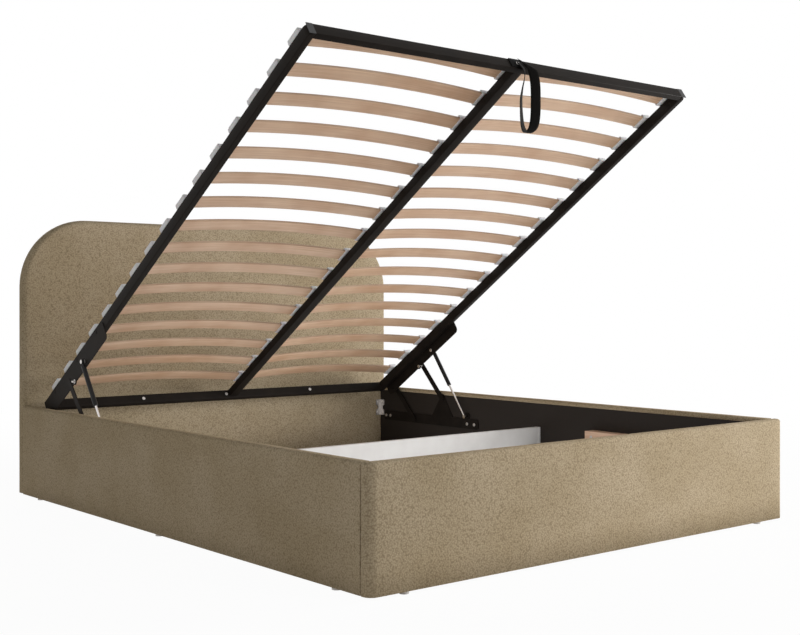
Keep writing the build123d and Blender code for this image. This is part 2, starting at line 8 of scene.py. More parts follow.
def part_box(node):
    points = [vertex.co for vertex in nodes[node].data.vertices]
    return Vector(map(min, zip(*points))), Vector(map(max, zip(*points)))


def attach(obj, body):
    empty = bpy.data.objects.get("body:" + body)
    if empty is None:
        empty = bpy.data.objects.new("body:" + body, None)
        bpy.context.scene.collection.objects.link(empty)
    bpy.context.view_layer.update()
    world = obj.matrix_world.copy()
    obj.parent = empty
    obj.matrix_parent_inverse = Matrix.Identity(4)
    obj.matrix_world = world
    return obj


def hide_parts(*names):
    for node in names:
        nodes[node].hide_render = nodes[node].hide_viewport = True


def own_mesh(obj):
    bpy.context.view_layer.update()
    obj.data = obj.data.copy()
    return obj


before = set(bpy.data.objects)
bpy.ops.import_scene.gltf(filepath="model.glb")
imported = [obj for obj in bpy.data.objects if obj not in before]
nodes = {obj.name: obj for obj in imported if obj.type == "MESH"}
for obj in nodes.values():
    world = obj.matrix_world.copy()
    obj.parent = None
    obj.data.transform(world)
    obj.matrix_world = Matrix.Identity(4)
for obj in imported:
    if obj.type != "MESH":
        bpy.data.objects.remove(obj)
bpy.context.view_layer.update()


# The camera stands at chest height off the foot's left corner, with its axis level.
# Its place and lens come from the photograph's vanishing points, for an image of 800 x 635.
sensor_width = 36.0
lens_length = 54.76
camera_place = (-2.6116, -3.2854, 0.7017)
camera_turn = math.radians(-39.64)
horizon_shift = -0.0185
far_limit = 200.0

camera_data = bpy.data.cameras.new("camera")
camera_data.sensor_width = sensor_width
camera_data.lens = lens_length
camera_data.shift_y = horizon_shift
camera_data.clip_end = far_limit
camera = bpy.data.objects.new("camera", camera_data)
camera.location = camera_place
camera.rotation_euler = (math.pi / 2, 0.0, camera_turn)
bpy.context.scene.collection.objects.link(camera)
bpy.context.scene.camera = camera
bpy.context.scene.view_settings.view_transform = "Standard"


# The room is a plain pale studio, all white round the bed: large soft lamps stand off the foot's
# right corner, to the right, high in front, to the left and behind, and a weak one sends light up from
# the storage space to the slats. The camera sees the sky and the far floor as white.
sky_strength = 0.09
floor_glow = 0.09
floor_half_width = 30.0
near_floor_white = 0.96
white_from, white_to = 1.6, 4.5

# Each lamp has its place, the point it is aimed at, the side of its square and its power in watts.
lamps = (
    ("key_lamp", (0.5, -2.6, 0.8), (0.4, -1.0, 0.35), 1.2, 10.5),
    ("high_lamp", (1.6, -5.0, 4.2), (0.1, -0.4, 0.35), 2.4, 50.0),
    ("right_lamp", (5.0, -2.2, 1.3), (0.1, -0.4, 0.35), 2.4, 245.0),
    ("left_lamp", (-5.0, -1.0, 1.6), (0.0, -0.1, 0.5), 3.0, 40.0),
    ("back_lamp", (0.3, 5.0, 2.6), (0.0, 0.9, 0.6), 1.0, 70.0),
    ("bounce_lamp", (0.0, 0.1, 0.06), (0.0, 0.101, 1.0), 1.4, 6.0),
)


def colour(code):
    """The linear colour of an sRGB hex value."""
    parts = [int(code[i:i + 2], 16) / 255 for i in (0, 2, 4)]
    return [p / 12.92 if p <= 0.04045 else ((p + 0.055) / 1.055) ** 2.4 for p in parts] + [1.0]


def feed(tree, node, inputs):
    """Give a node's inputs: plain values, sockets, or nodes, whose first output is meant."""
    for name, value in inputs.items():
        if isinstance(value, bpy.types.Node):
            value = value.outputs[0]
        if isinstance(value, bpy.types.NodeSocket):
            tree.links.new(value, node.inputs[name])
        else:
            node.inputs[name].default_value = value


def add_node(tree, kind, inputs=None, stops=(), **settings):
    """One more node, with its settings, its inputs and any colour stops as (place, hex colour)."""
    made = tree.nodes.new(kind)
    for name, value in settings.items():
        setattr(made, name, value)
    for i, (place, code) in enumerate(stops):
        band = made.color_ramp.elements
        stop = band[i] if i < len(band) else band.new(place)
        stop.position = place
        stop.color = colour(code)
    feed(tree, made, inputs or {})
    return made


def seen_directly(tree):
    """1 on rays that reach the camera straight, or by a mirror or a clear piece."""
    path = add_node(tree, "ShaderNodeLightPath").outputs
    either = add_node(tree, "ShaderNodeMath", {0: path["Is Camera Ray"], 1: path["Is Glossy Ray"]},
                      operation="MAXIMUM")
    return add_node(tree, "ShaderNodeMath", {0: either, 1: path["Is Transmission Ray"]},
                    operation="MAXIMUM")


world = bpy.data.worlds.new("studio_sky")
bpy.context.scene.world = world
world.use_nodes = True
sky_tree = world.node_tree
sky_tree.nodes.clear()
even_sky = add_node(sky_tree, "ShaderNodeBackground", {"Color": colour("fbfaf8"), "Strength": sky_strength})
white_sky = add_node(sky_tree, "ShaderNodeBackground", {"Color": colour("ffffff"), "Strength": 1.0})
sky = add_node(sky_tree, "ShaderNodeMixShader", {"Fac": seen_directly(sky_tree), 1: even_sky, 2: white_sky})
add_node(sky_tree, "ShaderNodeOutputWorld", {"Surface": sky})

for lamp_name, place, aim, size, power in lamps:
    lamp_data = bpy.data.lights.new(lamp_name, "AREA")
    lamp_data.size = size
    lamp_data.energy = power
    lamp = bpy.data.objects.new(lamp_name, lamp_data)
    lamp.location = place
    lamp.rotation_euler = (Vector(aim) - Vector(place)).to_track_quat("-Z", "Y").to_euler()
    lamp.visible_camera = False
    bpy.context.scene.collection.objects.link(lamp)

floor_work = bmesh.new()
bmesh.ops.create_grid(floor_work, x_segments=1, y_segments=1, size=floor_half_width)
floor_mesh = bpy.data.meshes.new("studio_floor")
floor_work.to_mesh(floor_mesh)
floor_work.free()
floor = bpy.data.objects.new("studio_floor", floor_mesh)
bpy.context.scene.collection.objects.link(floor)

# Painted studio floor: matt and pale, so that it keeps a faint shadow close to the bed.
floor_paint = bpy.data.materials.new("painted_floor")
floor_paint.use_nodes = True
floor_tree = floor_paint.node_tree
floor_tree.nodes.clear()
floor_point = add_node(floor_tree, "ShaderNodeTexCoord").outputs["Object"]
floor_way = add_node(floor_tree, "ShaderNodeVectorMath", {0: floor_point}, operation="LENGTH")
floor_fade = add_node(floor_tree, "ShaderNodeMapRange", {
    "Value": floor_way.outputs["Value"], "From Min": white_from, "From Max": white_to,
    "To Min": near_floor_white, "To Max": 1.0}, interpolation_type="SMOOTHSTEP")
floor_share = add_node(floor_tree, "ShaderNodeMath", {0: floor_fade, 1: seen_directly(floor_tree)},
                       operation="MULTIPLY")
floor_matt = add_node(floor_tree, "ShaderNodeBsdfDiffuse", {"Color": colour("e6e4e1")})
floor_lit = add_node(floor_tree, "ShaderNodeEmission", {"Color": colour("fbfaf8"), "Strength": floor_glow})
floor_near = add_node(floor_tree, "ShaderNodeAddShader", {0: floor_matt, 1: floor_lit})
floor_white = add_node(floor_tree, "ShaderNodeEmission", {"Color": colour("ffffff"), "Strength": 1.0})
floor_mix = add_node(floor_tree, "ShaderNodeMixShader", {"Fac": floor_share, 1: floor_near, 2: floor_white})
add_node(floor_tree, "ShaderNodeOutputMaterial", {"Surface": floor_mix})
floor_mesh.materials.append(floor_paint)


# Upholstery: a boucle cloth in beige-olive, pulled tight over thin foam and stapled out of sight.
# The headboard is one padded panel; each rail and the footboard has its own cover, wrapped over the
# top edge and down the inside to where the black lining starts.
loop_size = 0.0046
loop_wander = 0.0026
loop_depth = 0.0011
fibre_size = 0.0013
fibre_share = 0.18
shade_size = 0.22
cover_skin = 0.0055
lip_depth = 0.015
edge_radius = 0.0075
seam_radius = 0.0035
seam_gap = 0.0024
foot_corner_radius = 0.024
head_corner_radius = 0.25
head_edge_radius = 0.023
head_crown = 0.0022
rail_crown = 0.001
crown_power = 4
ripple_depth = 0.0005
ripple_size = 0.16
cloth_step = 0.045

# Segments of each round, from the headboard's wide corners down to rounds of a few millimetres.
head_corner_steps = 18
foot_corner_steps = 8
head_edge_steps = 6
edge_steps = 4
fine_steps = 3

# How near to a face a point counts as on it, how far a rounded rim reaches, how far from a rail's
# inner side its outer side begins, how near two points count as one, and how nearly a direction
# follows an axis, as a cosine, for an edge and for a face.
on_face = 0.001
rim_reach = 0.01
outer_side_from = 0.03
same_place = 1e-6
edge_along = 0.999
face_towards = 0.9


def new_finish(name):
    """A new material: itself, its node tree, its surface shader and the point on the piece."""
    made = bpy.data.materials.new(name)
    made.use_nodes = True
    tree = made.node_tree
    point = add_node(tree, "ShaderNodeTexCoord").outputs["Object"]
    return made, tree, tree.nodes["Principled BSDF"], point


# Boucle: looped woollen yarn in small worm-like knots, with a soft rim. The cloth's tone is painted lighter
# on the tops of the loops and darker in the hollows between them, as painted shade.
boucle, tree, shader, point = new_finish("woven_boucle")
wander = add_node(tree, "ShaderNodeTexNoise", {"Vector": point, "Scale": 1 / loop_size, "Detail": 0.0})
wander = add_node(tree, "ShaderNodeVectorMath", {0: wander.outputs["Color"], "Scale": loop_wander},
                  operation="SCALE")
bent_point = add_node(tree, "ShaderNodeVectorMath", {0: point, 1: wander}, operation="ADD")
loops = add_node(tree, "ShaderNodeTexVoronoi", {"Vector": bent_point, "Scale": 1 / loop_size})
fibres = add_node(tree, "ShaderNodeTexNoise", {"Vector": point, "Scale": 1 / fibre_size, "Detail": 1.0})
shades = add_node(tree, "ShaderNodeTexNoise", {"Vector": point, "Scale": 1 / shade_size, "Detail": 2.0})
# Yarn tone with painted shade: the colour darkens where the loops' relief is low and lightens on their tops.
yarn_tone_and_hollow_shade = add_node(tree, "ShaderNodeValToRGB", {"Fac": loops},
                stops=((0.1, "c7b69a"), (0.5, "b5a489"), (0.85, "99896f")))
wash = add_node(tree, "ShaderNodeValToRGB", {"Fac": shades}, stops=((0.35, "f1efe9"), (0.65, "ffffff")))
cloth = add_node(tree, "ShaderNodeMix", {"Factor": 1.0, 6: yarn_tone_and_hollow_shade, 7: wash},
                 data_type="RGBA", blend_type="MULTIPLY").outputs[2]
height = add_node(tree, "ShaderNodeMath", {0: 1.0, 1: loops}, operation="SUBTRACT")
relief = add_node(tree, "ShaderNodeMath", {0: fibres, 1: fibre_share, 2: height}, operation="MULTIPLY_ADD")
bump = add_node(tree, "ShaderNodeBump", {"Height": relief, "Strength": 0.5, "Distance": loop_depth})
feed(tree, shader, {"Base Color": cloth, "Normal": bump, "Roughness": 0.92, "Specular IOR Level": 0.2,
                    "Sheen Weight": 0.22, "Sheen Roughness": 0.5, "Sheen Tint": colour("c2ad8a")})


def add_box(work, low, high):
    """One more box in a work mesh, from its two corners."""
    low, high = Vector(low), Vector(high)
    made = bmesh.ops.create_cube(work, size=1.0)["verts"]
    bmesh.ops.scale(work, vec=high - low, verts=made)
    bmesh.ops.translate(work, vec=(low + high) / 2, verts=made)


def box_work(low, high):
    """A work mesh holding one box, from its two corners."""
    work = bmesh.new()
    add_box(work, low, high)
    return work


def runs_along(edge, axis):
    """Whether an edge runs along x, y or z, given as 0, 1 or 2."""
    way = edge.verts[1].co - edge.verts[0].co
    return abs(way[axis]) > edge_along * way.length


def top_of(edge):
    """The height of an edge's upper end."""
    return max(vert.co.z for vert in edge.verts)


def round_edges(work, edges, radius, segments):
    """Bevel these edges to a round of that radius."""
    bmesh.ops.bevel(work, geom=list(edges), offset=radius, segments=segments, profile=0.5,
                    affect="EDGES", material=-1, clamp_overlap=True)


def cut_through(work, place, normal):
    """Cut every face that crosses a plane, and keep both sides."""
    bmesh.ops.bisect_plane(work, geom=work.verts[:] + work.edges[:] + work.faces[:], dist=same_place,
                           plane_co=place, plane_no=normal)


def slice_up(work, axis, step):
    """Cut the work mesh square across an axis at even steps, so that it can bend."""
    places = [vert.co[axis] for vert in work.verts]
    low, high = min(places), max(places)
    normal = Vector([1.0 if i == axis else 0.0 for i in range(3)])
    count = max(1, round((high - low) / step))
    for i in range(1, count):
        cut_through(work, normal * (low + (high - low) * i / count), normal)


def open_below_lip(work, low_z, lip_z, on_inner_side):
    """Take away the underside and, below the lip, the inner side, where the board and lining are."""
    cut_through(work, (0, 0, lip_z), (0, 0, 1))
    gone = []
    for face in work.faces:
        middle = face.calc_center_median()
        if middle.z < low_z + on_face or on_inner_side(middle) and middle.z < lip_z:
            gone.append(face)
    bmesh.ops.delete(work, geom=gone, context="FACES")


def crown(place, low, high):
    """1 halfway between low and high, and 0 at both, rounding off near the ends."""
    return 1 - (2 * (place - low) / (high - low) - 1) ** crown_power


def ripple(work):
    """Give a worked skin the faint unevenness of cloth over foam."""
    work.normal_update()
    for vert in work.verts:
        vert.co += vert.normal * ripple_depth * noise.noise(vert.co / ripple_size)


def finish_piece(work, name, body, finish, sharp=40.0):
    """Turn the work mesh into a piece that rides on its body; edges over sharp degrees stay crisp."""
    bmesh.ops.recalc_face_normals(work, faces=work.faces)
    mesh = bpy.data.meshes.new(name)
    work.to_mesh(mesh)
    work.free()
    mesh.materials.append(finish)
    mesh.polygons.foreach_set("use_smooth", [True] * len(mesh.polygons))
    mesh.set_sharp_from_angle(angle=math.radians(sharp))
    piece = bpy.data.objects.new(name, mesh)
    bpy.context.scene.collection.objects.link(piece)
    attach(piece, body)
    return piece


def give_skin(piece):
    """Turn an open shell into cloth and padding of the real thickness, growing inwards."""
    thicken = piece.modifiers.new("padding", "SOLIDIFY")
    thicken.thickness = cover_skin
    thicken.offset = -1.0
    thicken.use_even_offset = True


# Headboard: a flat panel with two wide round upper corners and a soft rim, bowed a little in front.
head_low, head_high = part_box("headboard_cover")
head_work = box_work(head_low, head_high)
top_corners = [e for e in head_work.edges if runs_along(e, 1) and top_of(e) > head_high.z / 2]
round_edges(head_work, top_corners, head_corner_radius, head_corner_steps)
rim = [e for e in head_work.edges if not runs_along(e, 1) and top_of(e) > head_low.z + rim_reach]
round_edges(head_work, rim, head_edge_radius, head_edge_steps)
slice_up(head_work, 0, cloth_step)
slice_up(head_work, 2, cloth_step)
for vert in head_work.verts:
    swell = crown(vert.co.x, head_low.x, head_high.x) * crown(vert.co.z, head_low.z, head_high.z)
    if vert.co.y < head_low.y + on_face:
        vert.co.y += head_crown * (1 - swell)
ripple(head_work)
headboard = finish_piece(head_work, "headboard_upholstery", "root", boucle)
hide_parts("headboard_cover")


def rail_upholstery(side):
    """The cover of one side rail, open underneath and on the inside below its lip."""
    low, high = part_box("rail_cover_" + side)
    low.y += seam_gap
    inner_x, outward = (low.x, 1.0) if high.x > 0 else (high.x, -1.0)
    work = box_work(low, high)
    top_edges = [e for e in work.edges if runs_along(e, 1) and top_of(e) > high.z / 2]
    round_edges(work, top_edges, edge_radius, edge_steps)
    ends = [e for e in work.edges if not runs_along(e, 1) and top_of(e) > low.z + rim_reach]
    round_edges(work, ends, seam_radius, fine_steps)
    slice_up(work, 1, cloth_step * 2)
    slice_up(work, 2, cloth_step * 2)
    open_below_lip(work, low.z, high.z - lip_depth, lambda middle: abs(middle.x - inner_x) < on_face)
    for vert in work.verts:
        if abs(vert.co.x - inner_x) > outer_side_from:
            vert.co.x -= outward * rail_crown * (1 - crown(vert.co.z, low.z, high.z))
    ripple(work)
    cover = finish_piece(work, "rail_upholstery_" + side, "root", boucle)
    give_skin(cover)
    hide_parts("rail_cover_" + side)


rail_upholstery("right")
rail_upholstery("left")

# Footboard: one cover round the front and both corners, with the rails' seams just behind them.
foot_low, foot_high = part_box("footboard_cover")
foot_work = box_work(foot_low, foot_high)
outer_corners = [e for e in foot_work.edges if runs_along(e, 2) and e.verts[0].co.y < foot_low.y + rim_reach]
round_edges(foot_work, outer_corners, foot_corner_radius, foot_corner_steps)
foot_rim = [e for e in foot_work.edges
            if not runs_along(e, 2) and min(v.co.z for v in e.verts) > foot_high.z - rim_reach]
round_edges(foot_work, foot_rim, edge_radius, edge_steps)
inner_ends = [e for e in foot_work.edges if runs_along(e, 2) and e.verts[0].co.y > foot_high.y - on_face]
round_edges(foot_work, inner_ends, seam_radius, fine_steps)
slice_up(foot_work, 0, cloth_step * 2)
slice_up(foot_work, 2, cloth_step * 2)
open_below_lip(foot_work, foot_low.z, foot_high.z - lip_depth,
               lambda middle: middle.y > foot_high.y - on_face)
ripple(foot_work)
footboard = finish_piece(foot_work, "footboard_upholstery", "root", boucle)
give_skin(footboard)
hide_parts("footboard_cover")


# Boards and linings: engineered boards under the cloth, thin laminated linings on their inner
# faces, and a floor of dark hardboard on softwood bearers. Here and below, a pattern's size is in
# metres, and one such as 1 / 9 means nine to the metre.
chip_size = 0.004
tooth_size = 0.0016
patch_size = 1 / 9


def dress(names, finish):
    """Give a finish to CAD pieces that are kept as they are."""
    for name in names:
        slots = nodes[name].material_slots
        if not slots:
            nodes[name].data.materials.append(finish)
        for slot in slots:
            slot.material = finish


# Chipboard: pressed wood chips, matt and speckled.
chipboard, tree, shader, point = new_finish("pressed_chipboard")
chips = add_node(tree, "ShaderNodeTexVoronoi", {"Vector": point, "Scale": 1 / chip_size}).outputs["Color"]
tone = add_node(tree, "ShaderNodeValToRGB", {"Fac": chips}, stops=((0.2, "8f7450"), (0.8, "b99b70")))
feed(tree, shader, {"Base Color": tone, "Roughness": 0.85})
dress(["headboard_core", "rail_board_right", "rail_board_left", "footboard_board"], chipboard)

# Black laminate: printed paper on board, nearly matt, with a faint fine tooth.
laminate, tree, shader, point = new_finish("black_laminate")
tooth = add_node(tree, "ShaderNodeTexNoise", {"Vector": point, "Scale": 1 / tooth_size, "Detail": 2.0})
tone = add_node(tree, "ShaderNodeValToRGB", {"Fac": tooth}, stops=((0.3, "1f1915"), (0.7, "28211b")))
bump = add_node(tree, "ShaderNodeBump", {"Height": tooth, "Strength": 0.3, "Distance": 0.0003})
feed(tree, shader, {"Base Color": tone, "Normal": bump, "Roughness": 0.7, "Specular IOR Level": 0.3})
dress(["rail_lining_right", "rail_lining_left", "footboard_lining"], laminate)

# Hardboard: brown pressed fibre, smooth and dull, with drifting darker patches.
hardboard, tree, shader, point = new_finish("pressed_hardboard")
patches = add_node(tree, "ShaderNodeTexNoise", {"Vector": point, "Scale": 1 / patch_size, "Detail": 5.0})
tone = add_node(tree, "ShaderNodeValToRGB", {"Fac": patches}, stops=((0.3, "3b342b"), (0.7, "4a4135")))
fuzz = add_node(tree, "ShaderNodeTexNoise", {"Vector": point, "Scale": 1 / tooth_size, "Detail": 3.0})
bump = add_node(tree, "ShaderNodeBump", {"Height": fuzz, "Strength": 0.25, "Distance": 0.0003})
feed(tree, shader, {"Base Color": tone, "Normal": bump, "Roughness": 0.75})
dress(["floor_panels"], hardboard)


# Divider and battens: a white melamine board across the middle, whose ends stand in a white channel
# at each rail, and two planed softwood battens that the closed lid rests on.
grain_width = 0.006
grain_length = 0.16
print_size = 1 / 14
resin_peel = 0.002

# Planed softwood: straight growth lines along the rails, a soft satin face.
planed_softwood, tree, shader, point = new_finish("planed_softwood")
along = add_node(tree, "ShaderNodeMapping", {
    "Vector": point, "Scale": (1 / grain_width, 1 / grain_length, 1 / grain_width)})
lines = add_node(tree, "ShaderNodeTexNoise", {"Vector": along, "Scale": 1.0, "Detail": 4.0,
                                              "Distortion": 0.4})
tone = add_node(tree, "ShaderNodeValToRGB", {"Fac": lines}, stops=((0.3, "cca68a"), (0.7, "f0ccb0")))
bump = add_node(tree, "ShaderNodeBump", {"Height": lines, "Strength": 0.2, "Distance": 0.0004})
feed(tree, shader, {"Base Color": tone, "Normal": bump, "Roughness": 0.6})
dress(["floor_bearers", "lid_support_right", "lid_support_left"], planed_softwood)

# Melamine: white paper under clear resin, smooth with a low satin shine.
melamine, tree, shader, point = new_finish("white_melamine")
prints = add_node(tree, "ShaderNodeTexNoise", {"Vector": point, "Scale": 1 / print_size, "Detail": 3.0})
tone = add_node(tree, "ShaderNodeValToRGB", {"Fac": prints}, stops=((0.35, "eae7e4"), (0.65, "f1efec")))
peel = add_node(tree, "ShaderNodeTexNoise", {"Vector": point, "Scale": 1 / resin_peel})
bump = add_node(tree, "ShaderNodeBump", {"Height": peel, "Strength": 0.08, "Distance": 0.0002})
feed(tree, shader, {"Base Color": tone, "Normal": bump, "Roughness": 0.42})
dress(["divider_board", "divider_channels"], melamine)


# Lift mechanism: pressed steel plates and levers in black powder coat, with two gas struts whose
# cylinders are painted black and whose rods are polished and chromed.
coat_grain = 0.0011
dust_size = 1 / 18
drag_size = 1 / 220
turning_size = 1 / 900
plating_grain = 0.002

# Powder coat: baked paint on steel, satin black with a fine even peel.
powder_coat, tree, shader, point = new_finish("black_powder_coat")
peel = add_node(tree, "ShaderNodeTexNoise", {"Vector": point, "Scale": 1 / coat_grain, "Detail": 2.0})
dust = add_node(tree, "ShaderNodeTexNoise", {"Vector": point, "Scale": 1 / dust_size, "Detail": 4.0})
tone = add_node(tree, "ShaderNodeValToRGB", {"Fac": dust}, stops=((0.3, "1b1714"), (0.75, "26211d")))
rough = add_node(tree, "ShaderNodeMapRange", {"Value": dust, "To Min": 0.5, "To Max": 0.62})
bump = add_node(tree, "ShaderNodeBump", {"Height": peel, "Strength": 0.2, "Distance": 0.00025})
feed(tree, shader, {"Base Color": tone, "Normal": bump, "Roughness": rough, "Specular IOR Level": 0.07})
dress(["base_plate_right", "base_plate_left", "rear_lever_base_pins", "front_lever_base_pins",
       "strut_foot_studs", "rear_lever_right", "rear_lever_left", "front_lever_right", "front_lever_left",
       "lid_plate_right", "lid_plate_left", "lid_plate_bolts", "rear_lever_lid_pins"], powder_coat)

# Strut paint: sprayed gloss black over drawn tube, with a faint drag along its length.
strut_paint, tree, shader, point = new_finish("gloss_black_paint")
drag = add_node(tree, "ShaderNodeTexNoise", {"Vector": point, "Scale": 1 / drag_size, "Detail": 1.0})
tone = add_node(tree, "ShaderNodeValToRGB", {"Fac": drag}, stops=((0.3, "110f0e"), (0.7, "181615")))
feed(tree, shader, {"Base Color": tone, "Roughness": 0.34, "Specular IOR Level": 0.2})
dress(["strut_cylinder_right", "strut_cylinder_left"], strut_paint)

# Chromed rod: ground and polished, so nearly a mirror with hairline turning marks.
chrome, tree, shader, point = new_finish("polished_chrome")
turning = add_node(tree, "ShaderNodeTexNoise", {"Vector": point, "Scale": 1 / turning_size, "Detail": 1.0})
tone = add_node(tree, "ShaderNodeValToRGB", {"Fac": turning}, stops=((0.3, "c9c4c1"), (0.7, "dedad7")))
rough = add_node(tree, "ShaderNodeMapRange", {"Value": turning, "To Min": 0.16, "To Max": 0.26})
feed(tree, shader, {"Base Color": tone, "Roughness": rough, "Metallic": 1.0})
dress(["strut_rod_right", "strut_rod_left"], chrome)

# Zinc plate: bright passivated plating on stamped and turned steel, slightly cloudy.
zinc, tree, shader, point = new_finish("zinc_plated_steel")
cloud = add_node(tree, "ShaderNodeTexNoise", {"Vector": point, "Scale": 1 / plating_grain, "Detail": 3.0})
tone = add_node(tree, "ShaderNodeValToRGB", {"Fac": cloud}, stops=((0.3, "bdb8b4"), (0.7, "dbd7d3")))
rough = add_node(tree, "ShaderNodeMapRange", {"Value": cloud, "To Min": 0.3, "To Max": 0.46})
feed(tree, shader, {"Base Color": tone, "Roughness": rough, "Metallic": 1.0})
dress(["corner_brackets", "corner_screws", "lid_support_screws", "base_bolts", "front_lever_lid_pins",
       "strut_lid_pins", "strap_bolt"], zinc)


# Lid frame: black rectangular steel tube, two sides with a rear and a front bar between them and one
# tube down the middle. It is drawn flat, with its rear edge at y = 0, then turned up about that edge.
lid_rise = math.radians(-33.6)
lid_rear_edge = (0.0, 0.92844, 0.30902)
lid_length = 1.973
tube_height = 0.036
tube_width = 0.021
tube_round = 0.0025
centre_width = 0.036
centre_height = 0.028
front_corner_round = 0.017
front_corner_steps = 6
cap_thickness = 0.002
spark_size = 1 / 1400
lid_place = Matrix.Translation(lid_rear_edge) @ Matrix.Rotation(lid_rise, 4, "X")
lid_half_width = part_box("lid_side_tube_right")[1].x
tube_inner = lid_half_width - tube_width


def on_lid(work):
    """Turn a flat-drawn work mesh up to the open lid."""
    bmesh.ops.transform(work, matrix=lid_place, verts=work.verts)
    return work


def tube_piece(name, low, high, corners=()):
    """One tube with rolled edges; corners are the upright edges that are rounded further."""
    work = box_work(low, high)
    for x, y in corners:
        wide = [e for e in work.edges
                if runs_along(e, 2) and (e.verts[0].co.xy - Vector((x, y))).length < on_face]
        round_edges(work, wide, front_corner_round, front_corner_steps)
    round_edges(work, [e for e in work.edges if not runs_along(e, 2)], tube_round, fine_steps)
    piece = finish_piece(on_lid(work), name, "lid", powder_coat, sharp=50.0)
    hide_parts(name.replace("_steel", ""))


for side, sign in (("right", 1), ("left", -1)):
    outer, inner = sign * lid_half_width, sign * tube_inner
    tube_piece("lid_side_tube_" + side + "_steel", (min(outer, inner), cap_thickness - lid_length, 0),
               (max(outer, inner), -cap_thickness, tube_height), [(outer, cap_thickness - lid_length)])
tube_piece("lid_rear_bar_steel", (-tube_inner, -tube_width, 0), (tube_inner, 0, tube_height))
tube_piece("lid_front_bar_steel", (-tube_inner, -lid_length, 0),
           (tube_inner, tube_width - lid_length, tube_height))
tube_piece("lid_centre_tube_steel", (-centre_width / 2, tube_width - lid_length, tube_height - centre_height),
           (centre_width / 2, -tube_width, tube_height))

# ABS: moulded black plastic with a fine spark-eroded grain, used for the tube caps.
black_abs, tree, shader, point = new_finish("moulded_black_abs")
spark = add_node(tree, "ShaderNodeTexNoise", {"Vector": point, "Scale": 1 / spark_size, "Detail": 2.0})
tone = add_node(tree, "ShaderNodeValToRGB", {"Fac": spark}, stops=((0.3, "171717"), (0.7, "1f1f1f")))
bump = add_node(tree, "ShaderNodeBump", {"Height": spark, "Strength": 0.2, "Distance": 0.0002})
feed(tree, shader, {"Base Color": tone, "Normal": bump, "Roughness": 0.5})
dress(["lid_end_caps"], black_abs)


# Slats: 32 strips of bent laminated birch, lacquered, bowed up between the side tube and the centre
# tube. Their long edges are eased, and their plies show on the edges.
slat_count = 16
first_slat = 0.114
slat_pitch = 0.1196
slat_width = 0.05
slat_thickness = 0.008
slat_crown = 0.022
slat_round = 0.0022
slat_lift = 0.003
slat_seat = tube_height + slat_lift
slat_end_wall = 0.006
slat_bends = 26
slat_middle = lid_half_width / 2
slat_half = (lid_half_width - 2 * slat_end_wall) / 2
ply_count = 5
birch_grain_width = 0.004
birch_grain_length = 0.22
birch_cloud_size = 1 / 7
veneer_spread = 9
veneer_seeds = {"right": 7, "left": 8}


def bow(x):
    """How far a slat rises above its seat at a place across the lid."""
    return slat_crown * (1 - ((abs(x) - slat_middle) / slat_half) ** 2)


# Birch: rotary-cut veneer glued in plies, pale pinkish tan, with fine long grain and clear lacquer.
birch, tree, shader, point = new_finish("lacquered_birch")
grain_point = add_node(tree, "ShaderNodeAttribute", attribute_name="grain").outputs["Vector"]
stretched = add_node(tree, "ShaderNodeMapping", {
    "Vector": grain_point, "Scale": (1 / birch_grain_length, 1 / birch_grain_width, 1 / birch_grain_width)})
veins = add_node(tree, "ShaderNodeTexNoise", {"Vector": stretched, "Scale": 1.0, "Detail": 4.0,
                                              "Distortion": 0.3})
clouds = add_node(tree, "ShaderNodeTexNoise", {"Vector": grain_point, "Scale": 1 / birch_cloud_size,
                                               "Detail": 2.0})
height_in_slat = add_node(tree, "ShaderNodeSeparateXYZ", {"Vector": grain_point}).outputs["Z"]
ply_turns = add_node(tree, "ShaderNodeMath", {0: height_in_slat, 1: 2 * math.pi * ply_count / slat_thickness},
                     operation="MULTIPLY")
ply_wave = add_node(tree, "ShaderNodeMath", {0: ply_turns}, operation="COSINE")
ply_shade = add_node(tree, "ShaderNodeMapRange", {"Value": ply_wave, "From Min": -1.0, "To Min": 0.72,
                                                  "To Max": 1.0})
face_grain = add_node(tree, "ShaderNodeValToRGB", {"Fac": veins}, stops=((0.25, "cca687"), (0.75, "e7c8aa")))
cloud_tone = add_node(tree, "ShaderNodeValToRGB", {"Fac": clouds}, stops=((0.3, "eadfd6"), (0.7, "ffffff")))
toned = add_node(tree, "ShaderNodeMix", {"Factor": 1.0, 6: face_grain, 7: cloud_tone},
                 data_type="RGBA", blend_type="MULTIPLY").outputs[2]
plied = add_node(tree, "ShaderNodeVectorMath", {0: toned, "Scale": ply_shade}, operation="SCALE")
bump = add_node(tree, "ShaderNodeBump", {"Height": veins, "Strength": 0.12, "Distance": 0.0003})
feed(tree, shader, {"Base Color": plied, "Normal": bump, "Roughness": 0.42, "Coat Weight": 0.15,
                    "Coat Roughness": 0.25})


def join_to(work, made):
    """Move a small work mesh into a larger one."""
    part = bpy.data.meshes.new("part")
    made.to_mesh(part)
    made.free()
    work.from_mesh(part)
    bpy.data.meshes.remove(part)


def slat_row(side, sign):
    """All slats on one half of the lid, each with a veneer of its own."""
    work = bmesh.new()
    work.verts.layers.float_vector.new("grain")
    chance = random.Random(veneer_seeds[side])
    for row in range(slat_count):
        made = bmesh.new()
        add_box(made, (slat_middle - slat_half, -slat_width / 2, 0),
                (slat_middle + slat_half, slat_width / 2, slat_thickness))
        round_edges(made, [e for e in made.edges if runs_along(e, 0)], slat_round, fine_steps)
        slice_up(made, 0, 2 * slat_half / slat_bends)
        grain = made.verts.layers.float_vector.new("grain")
        shift = Vector((chance.uniform(0, veneer_spread), chance.uniform(0, veneer_spread), 0))
        for vert in made.verts:
            vert[grain] = vert.co + shift
            vert.co.z += slat_seat + bow(vert.co.x)
            vert.co.x *= sign
            vert.co.y -= first_slat + row * slat_pitch
        join_to(work, made)
    piece = finish_piece(on_lid(work), "birch_slats_" + side, "lid", birch)
    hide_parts("slats_" + side)


slat_row("right", 1)
slat_row("left", -1)


